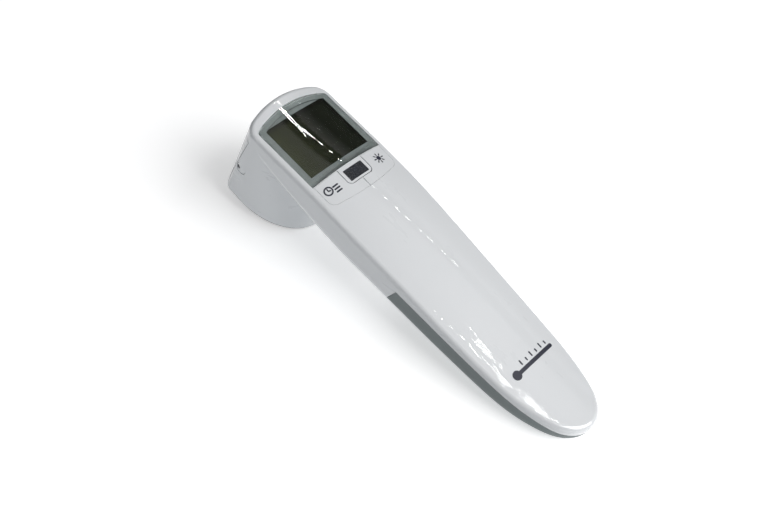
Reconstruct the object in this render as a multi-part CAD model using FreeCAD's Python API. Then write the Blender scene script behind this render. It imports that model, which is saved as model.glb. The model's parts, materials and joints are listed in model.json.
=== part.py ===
import FreeCAD, Part
import math
import os
from FreeCAD import Placement, Rotation, Vector

# Hammer-shaped non-contact forehead thermometer. It is drawn in millimetres in a display frame: the origin
# is the middle of the display on the top surface, +X is the user's right, +Y points from the handle to the
# head and +Z out of the display. The last step tips the finished pieces so that the nose and the battery
# cover rest on Z = 0.

# Outer form
WALL = 1.5
HALF_WIDTH = 18.6
HEAD_FRONT_Y = 20.7
HEAD_FRONT_R = 40.6
HEAD_CORNER_R = 7.4
NOSE_LEAN = 0.08
NOSE_CORNER_TAPER = 0.085
NOSE_REAR_Y = 9.9
NOSE_REAR_LENGTH = 24.0
NOSE_REAR_LEAN = 0.028
RIM_Z = -40.2
RIM_TILT_DEG = 2.9
RIM_EDGE_R = 0.4
SIDE_START_Y = -30.0
SIDE_HALF_WIDTHS = (
    (-60.0, 17.7), (-80.0, 17.05), (-100.0, 16.1), (-112.0, 14.9), (-122.0, 12.6), (-130.0, 8.9),
)
TIP_Y = -135.0
CROWN_R = 61.0
BELLY_R = 34.0
TOP_PROFILE = (
    (30.0, 0.0), (-18.0, 0.0), (-40.0, -0.75), (-60.0, -2.2),
    (-80.0, -3.95), (-100.0, -5.45), (-120.0, -6.2), (-140.0, -6.0),
)
BELLY_PROFILE = (
    (30.0, -14.0), (5.0, -17.0), (-20.0, -20.2), (-60.0, -21.3), (-80.0, -21.3),
    (-100.0, -21.0), (-112.0, -20.2), (-124.0, -18.0), (-140.0, -14.5),
)
SLAB_FRONT_Y = 11.5
TOP_EDGE_R = 1.9
BELLY_EDGE_R = 5.0
HALF_SPAN = 26.0
SKY_Z = 6.0
DEEP_Z = -46.0
REST_TILT_DEG = 12.0

# Joins between the shells
SEAM = 0.12
COVER_TOP_Z = -8.3
COVER_TOP_SLOPE = 0.027
COVER_FRONT_Y = -59.3
COVER_FRONT_SLOPE = -0.30
NECK_SEAM_Z = -15.0
NECK_SEAM_OFFSET = 0.5
NOSE_PANEL_TOP_Z = -8.0
NOSE_PANEL_SIDE_Y = 14.2
NOSE_PANEL_SLOPE = 0.19
NOSE_SEAM = 0.22

# Display
WINDOW_HALF_WIDTH = 16.4
WINDOW_BOTTOM_Y = -14.9
WINDOW_TOP_Y = 16.2
WINDOW_TOP_R = 45.0
WINDOW_CORNER_R = 1.5
WINDOW_BACK_Z = -2.7
MASK_GAP = 0.02
MASK_THICKNESS = 0.4
MASK_ARCH_Y = 14.2
MASK_ARCH_STEP = 0.7
LEDGE_BACK_Z = -4.0
VIEW_HALF_WIDTH = 13.75
VIEW_REAR_Y = -11.6
VIEW_FRONT_Y = 12.3
LCD_HALF_WIDTH = 14.9
LCD_HALF_HEIGHT = 13.2
LCD_TOP_Z = -3.3
LCD_BACK_Z = -5.05
BORDER_THICKNESS = 0.1
BORDER_HALF_WIDTH = 13.1
BORDER_FRONT_Y = 14.6
BACKLIGHT_HALF_WIDTH = 14.0
BACKLIGHT_Y = (-11.6, 12.4)
BACKLIGHT_BACK_Z = -6.9
BACKLIGHT_LED_Y = (12.45, 12.95)
BACKLIGHT_LED_Z = (-6.7, -5.3)
BACKLIGHT_LED_HALF_WIDTH = 2.0
STRIP_HALF_WIDTH = 13.0
STRIP_Y = (-13.1, -11.9)
LCD_CLEARANCE = 0.1
LCD_SIDE_OPENING = 15.05
FRAME_HALF_WIDTH = 15.9
FRAME_Y = (-14.2, 13.8)
FRAME_INNER_HALF_WIDTH = 14.2
FRAME_INNER_FRONT_Y = 13.0
FRAME_TOP_GAP = 0.15
SURROUND_MARGIN = 1.0

# Main board and what it carries
BOARD_TOP_Z = -7.2
BOARD_BACK_Z = -8.4
BOARD_HALF_WIDTH = 15.8
BOARD_FRONT_Y = 13.8
BOARD_REAR_Y = -46.0
CONTROLLER_X = (-11.5, -4.5)
CONTROLLER_Y = (-9.0, -2.0)
CONTROLLER_HEIGHT = 1.0
MEMORY_X = (4.0, 8.0)
MEMORY_Y = (-8.0, -3.0)
MEMORY_HEIGHT = 1.2
CRYSTAL_R = 1.0
CRYSTAL_LENGTH = 6.0
CRYSTAL_START = (-2.0, -13.0)
BUZZER_Y = -40.0
BUZZER_R = 5.5
BUZZER_HEIGHT = 3.2
BUZZER_PORT_R = 1.0
BUZZER_PORT_DEPTH = 0.8
CONNECTOR_HALF_WIDTH = 5.0
CONNECTOR_Y = (9.8, 12.6)
CONNECTOR_HEIGHT = 2.0

# Keys and indicator
KEY_TOP_Y = -15.1
KEY_HALF_FIELD = 16.0
KEY_CORNER_START_Y = -21.6
KEY_CORNER_MID = (15.0, -24.1)
KEY_CORNER_END = (12.6, -25.05)
KEY_BOTTOM_Y = -26.3
KEY_GAP = 0.08
KEY_SPLIT = 0.1
KEY_FLANGE_TOP_Z = -4.4
KEY_FLANGE_BACK_Z = -5.2
KEY_FLANGE_REACH = 0.7
KEY_WELL_Z = -10.0
KEY_SWITCH_X = 10.2
KEY_SWITCH_Y = -20.5
KEY_POST_TIP_Z = -5.62
KEY_POST_R = 1.6
SWITCH_HALF_WIDTH = 2.25
SWITCH_TOP_Z = -6.1
SWITCH_BORE_R = 1.3
SWITCH_BORE_Z = -7.0
SWITCH_STEM_R = 1.2
SWITCH_STEM_Z = (-6.5, -5.65)
TONGUE_HALF_WIDTH = 5.6
TONGUE_BOTTOM_Y = -22.0
TONGUE_CORNER_R = 1.6
TONGUE_GAP = 0.3
INDICATOR_HALF_WIDTH = 4.36
INDICATOR_HALF_HEIGHT = 2.37
INDICATOR_Y = -18.9
INDICATOR_RECESS = 0.06
INDICATOR_CORNER_R = 0.3
LIGHT_GUIDE_HALF_WIDTH = 3.6
LIGHT_GUIDE_HALF_LENGTH = 1.7
LIGHT_GUIDE_BACK_Z = -6.0
INDICATOR_LED_X = (1.2, 2.8)
INDICATOR_LED_HALF_LENGTH = 0.6
INDICATOR_LED_TOP_Z = -6.3

# Scan button under the neck
SCAN_Y = -29.0
SCAN_HALF_WIDTH = 5.5
SCAN_HALF_LENGTH = 8.5
SCAN_PROUD = 0.8
SCAN_GAP = 0.25
SCAN_FLANGE_Z = -17.4
SCAN_FLANGE_THICKNESS = 1.0
SCAN_FLANGE_REACH = 0.9
SCAN_EDGE_R = 0.6
SCAN_POST_TIP_Z = -11.05
SCAN_POST_R = 2.0
SCAN_SWITCH_HALF_WIDTH = 3.0
SCAN_SWITCH_BACK_Z = -10.5
SCAN_BORE_R = 1.6
SCAN_BORE_TOP_Z = -8.9
SCAN_STEM_R = 1.5
SCAN_STEM_Z = (-11.0, -9.6)

# Batteries
CELL_R = 5.25
CELL_LENGTH = 44.5
CELL_X = 5.42
CELL_Z = -12.95
BAY_FRONT_Y = -59.0
BAY_LENGTH = 48.4
TRAY_HALF_WIDTH = 12.4
TRAY_TOP_Z = -9.2
TRAY_BACK_Z = -14.4
TRAY_WALL = 1.3
TRAY_EAR_Z = (-11.1, -9.6)
TRAY_EAR_MARGIN = 2.4
CONTACT_THICKNESS = 0.4
CONTACT_Z = (-16.0, -9.4)
CONTACT_INNER_X = 1.4
CONTACT_OUTER_X = 9.6
CONTACT_BUMP_R = 1.6
CELL_NUB = 1.0
CELL_NUB_R = 1.9
CELL_EDGE_R = 0.6
SPRING_WIRE_R = 0.3
SPRING_R = 2.6
SPRING_PITCH = 0.8
BAY_REAR_Y = BAY_FRONT_Y - BAY_LENGTH
SPRING_LENGTH = BAY_LENGTH - CELL_LENGTH - 3 * CONTACT_THICKNESS
LEAD_X = 8.0
LEAD_R = 0.45
LEAD_OVERLAP = 3.0
LEAD_DROP = 0.5

# Catch at the front of the battery cover
CATCH_HALF_WIDTH = 5.0
CATCH_Y = (-63.0, -54.5)
CATCH_Z = (-19.3, -18.4)
CATCH_FOOT_Y = (-63.0, -60.3)
CATCH_FOOT_Z = (-20.6, -18.4)

# Sensor stack, measured along the nose from the rim plane inwards
SENSOR_Y = 5.4
BEZEL_RECESS = 0.8
BEZEL_LIP = 0.4
BEZEL_LIP_INSET = 0.3
BEZEL_SKIRT = 0.9
BEZEL_BACK = 2.8
APERTURE_R = 4.6
COLLAR_R = 6.6
POST_HEIGHT = 1.2
SENSOR_PILOT_START = 4.0
WINDOW_SEAT = 5.6
SENSOR_WINDOW_R = 5.2
SENSOR_WINDOW_THICKNESS = 0.8
CUP_SEAT = 7.0
SENSOR_CAN_START = 14.0
SENSOR_CAN_END = 19.0
HOLDER_END = 20.0
SENSOR_BOARD_END = 21.3
SENSOR_SCREW_X = 10.5
CUP_START = WINDOW_SEAT + SENSOR_WINDOW_THICKNESS + 0.05
CUP_NOSE_R = 5.15
CUP_FLANGE_R = 7.4
CUP_FLANGE_THICKNESS = 1.2
CUP_BARREL_R = 6.2
CONE_WIDE_R = 4.4
CONE_NARROW_R = 2.4
CAN_R = 4.1
CAN_BASE_R = 4.6
CAN_BASE_THICKNESS = 0.6
FILTER_R = 1.7
FILTER_THICKNESS = 0.2
PIN_R = 0.22
PIN_OFFSET = 1.8
PIN_STICK_OUT = 0.8
HOLDER_START = CUP_SEAT + CUP_FLANGE_THICKNESS + 0.05
HOLDER_R = 8.2
EAR_HALF_WIDTH = 12.8
EAR_HALF_LENGTH = 2.8
EAR_END = 9.8
SENSOR_BOARD_HALF_WIDTH = 8.5
AMPLIFIER_X = (-7.0, -3.2)
AMPLIFIER_HALF_LENGTH = 2.0
AMPLIFIER_HEIGHT = 1.0
RIBBON_HALF_WIDTH = 4.0
RIBBON_Y = (7.4, 7.7)
RIBBON_END = 29.6

# Guide lights in round inserts on both sides of the nose
GUIDE_Y = 14.5
GUIDE_Z = -23.6
GUIDE_HOLE_R = 2.4
GUIDE_INSERT_R = 2.22
GUIDE_INSERT_RECESS = 0.12
GUIDE_FLANGE_R = 3.0
GUIDE_INNER_X = 16.4
GUIDE_LENS_R = 0.8
GUIDE_LENS_OFFSET = (1.3, -0.3)
GUIDE_LENS_RECESS = 0.35

# Thumb grooves of the battery cover and outlets of the buzzer
GRIP_FRONT_Y = -66.0
GRIP_COUNT = 6
GRIP_PITCH = 1.9
GRIP_WIDTH = 0.9
GRIP_HALF_WIDTH = 7.0
GRIP_FLOOR_Z = -20.85
SOUND_HOLE_R = 0.6
SOUND_HOLES = ((-3.0, -43.5), (0.0, -43.5), (3.0, -43.5))

# Screws
SCREW_R = 0.8
SCREW_HEAD_R = 1.8
SCREW_HEAD_HEIGHT = 1.2
CROSS_HALF_LENGTH = 1.1
CROSS_HALF_WIDTH = 0.2
CROSS_DEPTH = 0.5
BOSS_R = 2.3
NECK_SCREW = (10.8, -51.5)
BOARD_SCREWS = ((13.0, -31.0), (13.0, -43.0))
TRAY_SCREW = (7.0, -112.3)
NECK_SCREW_Z = (-17.2, -7.0)
BOARD_SCREW_Z = (BOARD_BACK_Z, -4.6)
TRAY_SCREW_Z = (TRAY_EAR_Z[0], -8.4)
SENSOR_SCREW_Z = (EAR_END, 4.2)
PILOT_END_Z = -4.6


def box(x, y, z):
    """Box between the two limits given for each axis."""
    corner = Vector(x[0], y[0], z[0])
    return Part.makeBox(x[1] - x[0], y[1] - y[0], z[1] - z[0], corner)


def rod(x, y, z, radius):
    """Upright cylinder at x, y between two heights."""
    return Part.makeCylinder(radius, z[1] - z[0], Vector(x, y, z[0]))


def prism(wire, z):
    """Flat closed wire, extruded between two heights."""
    face = Part.Face(wire)
    face.translate(Vector(0, 0, z[0] - face.BoundBox.ZMin))
    return face.extrude(Vector(0, 0, z[1] - z[0]))


def line(a, b):
    return Part.makeLine(Vector(*a), Vector(*b))


def arc(a, b, c):
    return Part.Arc(Vector(*a), Vector(*b), Vector(*c)).toShape()


def closed(edges):
    return Part.Wire(Part.__sortEdges__(edges))


def mirrored(shape):
    return shape.mirror(Vector(0, 0, 0), Vector(1, 0, 0))


def both_sides(shape):
    """The piece and its mirror image, as a group of two solids."""
    return Part.makeCompound([shape, mirrored(shape)])


def slot_wire(half_width, half_length, y, radius):
    """Rectangle with round corners, centred on the Y axis."""
    shape = box((-half_width, half_width), (y - half_length, y + half_length), (0.0, 1.0))
    upright = [edge for edge in shape.Edges if edge.BoundBox.ZLength > 0.5]
    rounded = shape.makeFillet(radius, upright)
    return min(rounded.Faces, key=lambda face: face.CenterOfMass.z).OuterWire


# ---------------------------------------------------------------- outer form


def arched_outline(half_width, front_y, front_r, corner_r, rear_y, z):
    """Two straight sides joined by a shallow front arc and two corner arcs; open at rear_y."""
    centre_x = half_width - corner_r
    arc_y = front_y - front_r
    corner_y = arc_y + math.sqrt((front_r - corner_r) ** 2 - centre_x**2)
    end_angle = math.atan2(centre_x, corner_y - arc_y)
    mid_angle = (end_angle + math.pi / 2) / 2

    def corner(side, angle):
        x = side * (centre_x + corner_r * math.sin(angle))
        return (x, corner_y + corner_r * math.cos(angle), z)

    left = [corner(-1, angle) for angle in (math.pi / 2, mid_angle, end_angle)]
    right = [corner(1, angle) for angle in (end_angle, mid_angle, math.pi / 2)]
    return [
        line((-half_width, rear_y, z), left[0]),
        arc(*left),
        arc(left[2], (0, front_y, z), right[0]),
        arc(*right),
        line(right[2], (half_width, rear_y, z)),
    ]


def nose_section(inset, z):
    """D-shaped section of head and nose: arched front, straight sides, half-ellipse at the rear."""
    half_width = HALF_WIDTH - inset
    front_y = HEAD_FRONT_Y - NOSE_LEAN * z - inset
    corner_r = HEAD_CORNER_R + NOSE_CORNER_TAPER * z - inset
    rear_y = NOSE_REAR_Y - NOSE_REAR_LEAN * z
    length = NOSE_REAR_LENGTH - inset
    side = Vector(half_width, rear_y, z)
    ellipse = Part.Ellipse(Vector(0, rear_y - length, z), side, Vector(0, rear_y, z))
    ends = sorted(ellipse.parameter(point) for point in (side, Vector(-half_width, rear_y, z)))
    rear = Part.ArcOfEllipse(ellipse, ends[1], ends[0] + 2 * math.pi)
    if rear.value((rear.FirstParameter + rear.LastParameter) / 2).y > rear_y:
        rear = Part.ArcOfEllipse(ellipse, ends[0], ends[1])
    outline = arched_outline(half_width, front_y, HEAD_FRONT_R - inset, corner_r, rear_y, z)
    return closed(outline + [rear.toShape()])


def nose_column(inset):
    return Part.makeLoft([nose_section(inset, SKY_Z - 1), nose_section(inset, DEEP_Z)], True, True)


def slab_outline(inset, z):
    """Plan of head and handle, square at the front, where the nose column takes over."""
    half_width = HALF_WIDTH - inset
    points = [Vector(half_width, SIDE_START_Y, z)]
    points += [Vector(width - inset, y, z) for y, width in SIDE_HALF_WIDTHS]
    points.append(Vector(0, TIP_Y + inset, z))
    curve = Part.BSplineCurve()
    curve.interpolate(points, InitialTangent=Vector(0, -1, 0), FinalTangent=Vector(-1, 0, 0))
    right = curve.toShape()
    front = SLAB_FRONT_Y
    edges = [
        line((-half_width, SIDE_START_Y, z), (-half_width, front, z)),
        line((-half_width, front, z), (half_width, front, z)),
        line((half_width, front, z), (half_width, SIDE_START_Y, z)),
    ]
    return closed(edges + [right, mirrored(right)])


def arched_section(y, apex, radius, far_z, bulge):
    """Section across the handle with one arched side; bulge is +1 for the crown and -1 for the belly."""
    edge_z = apex - bulge * (radius - math.sqrt(radius**2 - HALF_SPAN**2))
    left = (-HALF_SPAN, y, edge_z)
    right = (HALF_SPAN, y, edge_z)
    far_right = (HALF_SPAN, y, far_z)
    far_left = (-HALF_SPAN, y, far_z)
    sides = [line(right, far_right), line(far_right, far_left), line(far_left, left)]
    return Part.Wire([arc(left, (0, y, apex), right)] + sides)


def below_crown(inset):
    """Everything below the crowned top surface, lowered by inset."""
    far_z = DEEP_Z - 1
    sections = [arched_section(y, z - inset, CROWN_R - inset, far_z, 1) for y, z in TOP_PROFILE]
    return Part.makeLoft(sections, True, False)


def above_belly(inset):
    """Everything above the rounded underside, raised by inset."""
    sections = [arched_section(y, z + inset, BELLY_R - inset, SKY_Z, -1) for y, z in BELLY_PROFILE]
    return Part.makeLoft(sections, True, False)


def above_rim():
    """Everything above the plane of the nose rim."""
    block = box((-HALF_SPAN, HALF_SPAN), (-150.0, 40.0), (0.0, 60.0))
    return placed_on_rim(block, 0.0)


def placed_on_rim(shape, y):
    """Moves a shape from the rim's frame (origin in its plane, +Z into the nose) to the display frame."""
    rise = math.tan(math.radians(RIM_TILT_DEG))
    base = Vector(0, y, RIM_Z + rise * (y - NOSE_REAR_Y))
    moved = shape.copy()
    moved.Placement = Placement(base, Rotation(Vector(1, 0, 0), RIM_TILT_DEG)).multiply(shape.Placement)
    return moved


def on_sensor_axis(shape):
    return placed_on_rim(shape, SENSOR_Y)


def solid_form(inset):
    """The whole body as one block, inset from the outer surface and open-ended at the nose."""
    slab = prism(slab_outline(inset, DEEP_Z), (DEEP_Z, SKY_Z - 1)).common(above_belly(inset))
    belly = min(slab.Faces, key=lambda face: face.CenterOfMass.z)
    lower_edges = [edge for edge in belly.Edges if edge.BoundBox.YLength > 1.0]
    slab = slab.makeFillet(BELLY_EDGE_R - inset, lower_edges)
    return slab.fuse(nose_column(inset)).common(below_crown(inset))


def face_edges(shape, direction):
    """Outer edges of the face that points most nearly along a direction."""

    def facing(face):
        first_u, last_u, first_v, last_v = face.ParameterRange
        return face.normalAt((first_u + last_u) / 2, (first_v + last_v) / 2).dot(direction) * face.Area

    return max(shape.Faces, key=facing).OuterWire.Edges


def outer_form():
    body = solid_form(0.0)
    body = body.makeFillet(TOP_EDGE_R, face_edges(body, Vector(0, 0, 1)))
    body = body.common(above_rim())
    rim = min(body.Faces, key=lambda face: face.CenterOfMass.z)
    return body.makeFillet(RIM_EDGE_R, rim.Edges)


# ---------------------------------------------------------------- regions that part the shells


def side_profile(points):
    """Region with the given outline in the Y-Z plane, right across the body."""
    loop = [(-HALF_SPAN, y, z) for y, z in points]
    edges = [line(loop[i - 1], loop[i]) for i in range(len(loop))]
    return Part.Face(Part.Wire(Part.__sortEdges__(edges))).extrude(Vector(2 * HALF_SPAN, 0, 0))


def cover_region(gap):
    """Lower part of the handle, from the slanted joint to the tip."""
    far_y = TIP_Y - 10.0
    top_z = COVER_TOP_Z - gap
    front_y = COVER_FRONT_Y - gap
    return side_profile((
        (front_y, top_z),
        (far_y, top_z + COVER_TOP_SLOPE * (far_y - COVER_FRONT_Y)),
        (far_y, DEEP_Z),
        (front_y + COVER_FRONT_SLOPE * (DEEP_Z - COVER_TOP_Z), DEEP_Z),
    ))


def neck_region(gap):
    """Underside of the neck, between the nose and the battery cover."""
    lower = box((-HALF_SPAN, HALF_SPAN), (TIP_Y, 0.0), (DEEP_Z, NECK_SEAM_Z - gap))
    return lower.cut(nose_column(-NECK_SEAM_OFFSET - gap)).cut(cover_region(-gap))


def nose_panel_region(gap):
    """Front face of the nose, below the head."""
    top_z = NOSE_PANEL_TOP_Z - gap
    side_y = NOSE_PANEL_SIDE_Y + gap
    return side_profile((
        (side_y, top_z),
        (side_y + NOSE_PANEL_SLOPE * (NOSE_PANEL_TOP_Z - DEEP_Z), DEEP_Z),
        (40.0, DEEP_Z),
        (40.0, top_z),
    ))


# ---------------------------------------------------------------- display


def window_outline(margin):
    half_width = WINDOW_HALF_WIDTH + margin
    bottom = WINDOW_BOTTOM_Y - margin
    corner_r = WINDOW_CORNER_R + margin
    edges = arched_outline(half_width, WINDOW_TOP_Y + margin, WINDOW_TOP_R + margin, corner_r, bottom, 0.0)
    return closed(edges + [line((half_width, bottom, 0), (-half_width, bottom, 0))])


def display_window():
    return prism(window_outline(-0.08), (WINDOW_BACK_Z, SKY_Z - 1)).common(below_crown(0.0))


def window_mask():
    """Printed border behind the window; its opening is arched at the front like the window."""
    top_z = WINDOW_BACK_Z - MASK_GAP
    sheet = prism(window_outline(-0.2), (top_z - MASK_THICKNESS, top_z))
    left = -VIEW_HALF_WIDTH
    right = VIEW_HALF_WIDTH
    side_y = VIEW_FRONT_Y - MASK_ARCH_STEP
    view = closed([
        arc((left, side_y, 0), (0, MASK_ARCH_Y, 0), (right, side_y, 0)),
        line((right, side_y, 0), (right, VIEW_REAR_Y, 0)),
        line((right, VIEW_REAR_Y, 0), (left, VIEW_REAR_Y, 0)),
        line((left, VIEW_REAR_Y, 0), (left, side_y, 0)),
    ])
    return sheet.cut(prism(view, (DEEP_Z, SKY_Z)))


def lcd_border():
    """Frame of film on the display glass, with the straight-edged opening of the display."""
    half_width = LCD_HALF_WIDTH
    z = (LCD_TOP_Z, LCD_TOP_Z + BORDER_THICKNESS)
    sheet = box((-half_width, half_width), (-LCD_HALF_HEIGHT, LCD_HALF_HEIGHT), z)
    front = box((-BORDER_HALF_WIDTH, BORDER_HALF_WIDTH), (VIEW_FRONT_Y, BORDER_FRONT_Y), z)
    view = box((-VIEW_HALF_WIDTH, VIEW_HALF_WIDTH), (VIEW_REAR_Y, VIEW_FRONT_Y), (DEEP_Z, SKY_Z))
    return sheet.fuse(front).cut(view).removeSplitter()


def lcd_panel():
    x = (-LCD_HALF_WIDTH, LCD_HALF_WIDTH)
    return box(x, (-LCD_HALF_HEIGHT, LCD_HALF_HEIGHT), (LCD_BACK_Z, LCD_TOP_Z))


def backlight_panel():
    x = (-BACKLIGHT_HALF_WIDTH, BACKLIGHT_HALF_WIDTH)
    return box(x, BACKLIGHT_Y, (BACKLIGHT_BACK_Z, LCD_BACK_Z - LCD_CLEARANCE))


def backlight_led():
    return box((-BACKLIGHT_LED_HALF_WIDTH, BACKLIGHT_LED_HALF_WIDTH), BACKLIGHT_LED_Y, BACKLIGHT_LED_Z)


def contact_strip():
    """Conductive rubber strip that joins the display glass to the board."""
    return box((-STRIP_HALF_WIDTH, STRIP_HALF_WIDTH), STRIP_Y, (BOARD_TOP_Z, LCD_BACK_Z))


def lcd_frame():
    side = LCD_HALF_WIDTH + LCD_CLEARANCE
    end = LCD_HALF_HEIGHT + LCD_CLEARANCE
    inner = FRAME_INNER_HALF_WIDTH
    frame = box((-FRAME_HALF_WIDTH, FRAME_HALF_WIDTH), FRAME_Y, (BOARD_TOP_Z, LEDGE_BACK_Z - FRAME_TOP_GAP))
    glass = box((-side, side), (-end, end), (LCD_BACK_Z, SKY_Z))
    return frame.cut(glass).cut(box((-inner, inner), (-end, FRAME_INNER_FRONT_Y), (DEEP_Z, SKY_Z)))


# ---------------------------------------------------------------- keys and indicator


def key_field(margin):
    """Outline shared by the two top keys."""
    half = KEY_HALF_FIELD
    corner_x, corner_y = KEY_CORNER_MID
    end_x, end_y = KEY_CORNER_END
    edges = [
        line((-half, KEY_TOP_Y, 0), (-half, KEY_CORNER_START_Y, 0)),
        arc((-half, KEY_CORNER_START_Y, 0), (-corner_x, corner_y, 0), (-end_x, end_y, 0)),
        arc((-end_x, end_y, 0), (0, KEY_BOTTOM_Y, 0), (end_x, end_y, 0)),
        arc((end_x, end_y, 0), (corner_x, corner_y, 0), (half, KEY_CORNER_START_Y, 0)),
        line((half, KEY_CORNER_START_Y, 0), (half, KEY_TOP_Y, 0)),
        line((half, KEY_TOP_Y, 0), (-half, KEY_TOP_Y, 0)),
    ]
    wire = closed(edges)
    return wire.makeOffset2D(margin) if margin else wire


def tongue(margin, z):
    """Fixed tongue between the keys; it reaches from under the window and carries the indicator."""
    half_length = (WINDOW_BOTTOM_Y + 3.0 - TONGUE_BOTTOM_Y) / 2
    middle = TONGUE_BOTTOM_Y + half_length
    wire = slot_wire(TONGUE_HALF_WIDTH + margin, half_length + margin, middle, TONGUE_CORNER_R + margin)
    behind_window = box((-HALF_SPAN, HALF_SPAN), (WINDOW_BOTTOM_Y, 0.0), (DEEP_Z, SKY_Z))
    return prism(wire, z).cut(behind_window)


def indicator_prism(margin, z):
    half_width = INDICATOR_HALF_WIDTH + margin
    half_height = INDICATOR_HALF_HEIGHT + margin
    return prism(slot_wire(half_width, half_height, INDICATOR_Y, INDICATOR_CORNER_R), z)


def indicator_lens():
    return indicator_prism(0.0, (LEDGE_BACK_Z, SKY_Z - 1)).common(below_crown(INDICATOR_RECESS))


def indicator_light_guide():
    x = (-LIGHT_GUIDE_HALF_WIDTH, LIGHT_GUIDE_HALF_WIDTH)
    y = (INDICATOR_Y - LIGHT_GUIDE_HALF_LENGTH, INDICATOR_Y + LIGHT_GUIDE_HALF_LENGTH)
    return box(x, y, (LIGHT_GUIDE_BACK_Z, LEDGE_BACK_Z))


def indicator_leds():
    y = (INDICATOR_Y - INDICATOR_LED_HALF_LENGTH, INDICATOR_Y + INDICATOR_LED_HALF_LENGTH)
    return both_sides(box(INDICATOR_LED_X, y, (BOARD_TOP_Z, INDICATOR_LED_TOP_Z)))


def mode_key():
    """Left key: crowned cap that wraps the tongue, with a retaining flange and a post for its switch."""
    cap = prism(key_field(-KEY_GAP), (KEY_FLANGE_TOP_Z, SKY_Z - 1)).common(below_crown(0.0))
    flange = prism(key_field(KEY_FLANGE_REACH), (KEY_FLANGE_BACK_Z, KEY_FLANGE_TOP_Z))
    flange = flange.cut(box((-HALF_SPAN, HALF_SPAN), (KEY_TOP_Y - KEY_GAP, 0.0), (DEEP_Z, SKY_Z)))
    key = cap.fuse(flange).cut(tongue(TONGUE_GAP, (DEEP_Z, SKY_Z)))
    key = key.cut(box((-KEY_SPLIT, HALF_SPAN), (-40.0, 0.0), (DEEP_Z, SKY_Z)))
    post = rod(-KEY_SWITCH_X, KEY_SWITCH_Y, (KEY_POST_TIP_Z, KEY_FLANGE_BACK_Z), KEY_POST_R)
    return key.fuse(post).removeSplitter()


def key_switch():
    """Board-mounted push switch under the left key."""
    half = SWITCH_HALF_WIDTH
    x = (-KEY_SWITCH_X - half, -KEY_SWITCH_X + half)
    y = (KEY_SWITCH_Y - half, KEY_SWITCH_Y + half)
    shell = box(x, y, (BOARD_TOP_Z, SWITCH_TOP_Z))
    return shell.cut(rod(-KEY_SWITCH_X, KEY_SWITCH_Y, (SWITCH_BORE_Z, 0.0), SWITCH_BORE_R))


def key_switch_stem():
    return rod(-KEY_SWITCH_X, KEY_SWITCH_Y, SWITCH_STEM_Z, SWITCH_STEM_R)


def scan_outline(margin):
    half_width = SCAN_HALF_WIDTH + margin
    half_length = SCAN_HALF_LENGTH + margin
    return slot_wire(half_width, half_length, SCAN_Y, half_width - 0.1)


def scan_button():
    """Trigger button, slightly proud of the underside, with a flange and a post inside."""
    cap = prism(scan_outline(-SCAN_GAP), (DEEP_Z, SCAN_FLANGE_Z)).common(above_belly(-SCAN_PROUD))
    outer = min(cap.Faces, key=lambda face: face.CenterOfMass.z)
    cap = cap.makeFillet(SCAN_EDGE_R, outer.OuterWire.Edges)
    flange_top = SCAN_FLANGE_Z + SCAN_FLANGE_THICKNESS
    flange = prism(scan_outline(SCAN_FLANGE_REACH), (SCAN_FLANGE_Z, flange_top))
    post = rod(0, SCAN_Y, (flange_top, SCAN_POST_TIP_Z), SCAN_POST_R)
    return cap.fuse(flange).fuse(post).removeSplitter()


def scan_switch():
    half = SCAN_SWITCH_HALF_WIDTH
    shell = box((-half, half), (SCAN_Y - half, SCAN_Y + half), (SCAN_SWITCH_BACK_Z, BOARD_BACK_Z))
    return shell.cut(rod(0, SCAN_Y, (DEEP_Z, SCAN_BORE_TOP_Z), SCAN_BORE_R))


def scan_switch_stem():
    return rod(0, SCAN_Y, SCAN_STEM_Z, SCAN_STEM_R)


# ---------------------------------------------------------------- screws


def screw(x, y, ends, up):
    """Pan-head screw from its seat to its tip; up is +1 when it points upwards."""
    seat_z, tip_z = ends
    shaft = rod(x, y, sorted((seat_z, tip_z)), SCREW_R)
    head = rod(x, y, sorted((seat_z, seat_z - up * SCREW_HEAD_HEIGHT)), SCREW_HEAD_R)
    slot_z = seat_z - up * SCREW_HEAD_HEIGHT
    depth = sorted((slot_z, slot_z + up * CROSS_DEPTH))
    long = CROSS_HALF_LENGTH
    thin = CROSS_HALF_WIDTH
    cross = box((x - long, x + long), (y - thin, y + thin), depth)
    cross = cross.fuse(box((x - thin, x + thin), (y - long, y + long), depth))
    return shaft.fuse(head).cut(cross).removeSplitter()


def neck_screws():
    x, y = NECK_SCREW
    return both_sides(screw(x, y, NECK_SCREW_Z, 1))


def board_screws():
    pairs = [both_sides(screw(x, y, BOARD_SCREW_Z, 1)) for x, y in BOARD_SCREWS]
    return Part.makeCompound([solid for pair in pairs for solid in pair.Solids])


def tray_screws():
    x, y = TRAY_SCREW
    return both_sides(screw(x, y, TRAY_SCREW_Z, 1))


def sensor_screws():
    return on_sensor_axis(both_sides(screw(SENSOR_SCREW_X, 0.0, SENSOR_SCREW_Z, -1)))


# ---------------------------------------------------------------- shells


def guide_rod(radius, inner_x, y=GUIDE_Y, z=GUIDE_Z):
    """Cylinder through the left wall of the nose, from inner_x outwards."""
    return Part.makeCylinder(radius, HALF_WIDTH + 1.0 - inner_x, Vector(-inner_x, y, z), Vector(-1, 0, 0))


def guide_lens_spot():
    return GUIDE_Y + GUIDE_LENS_OFFSET[0], GUIDE_Z + GUIDE_LENS_OFFSET[1]


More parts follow.
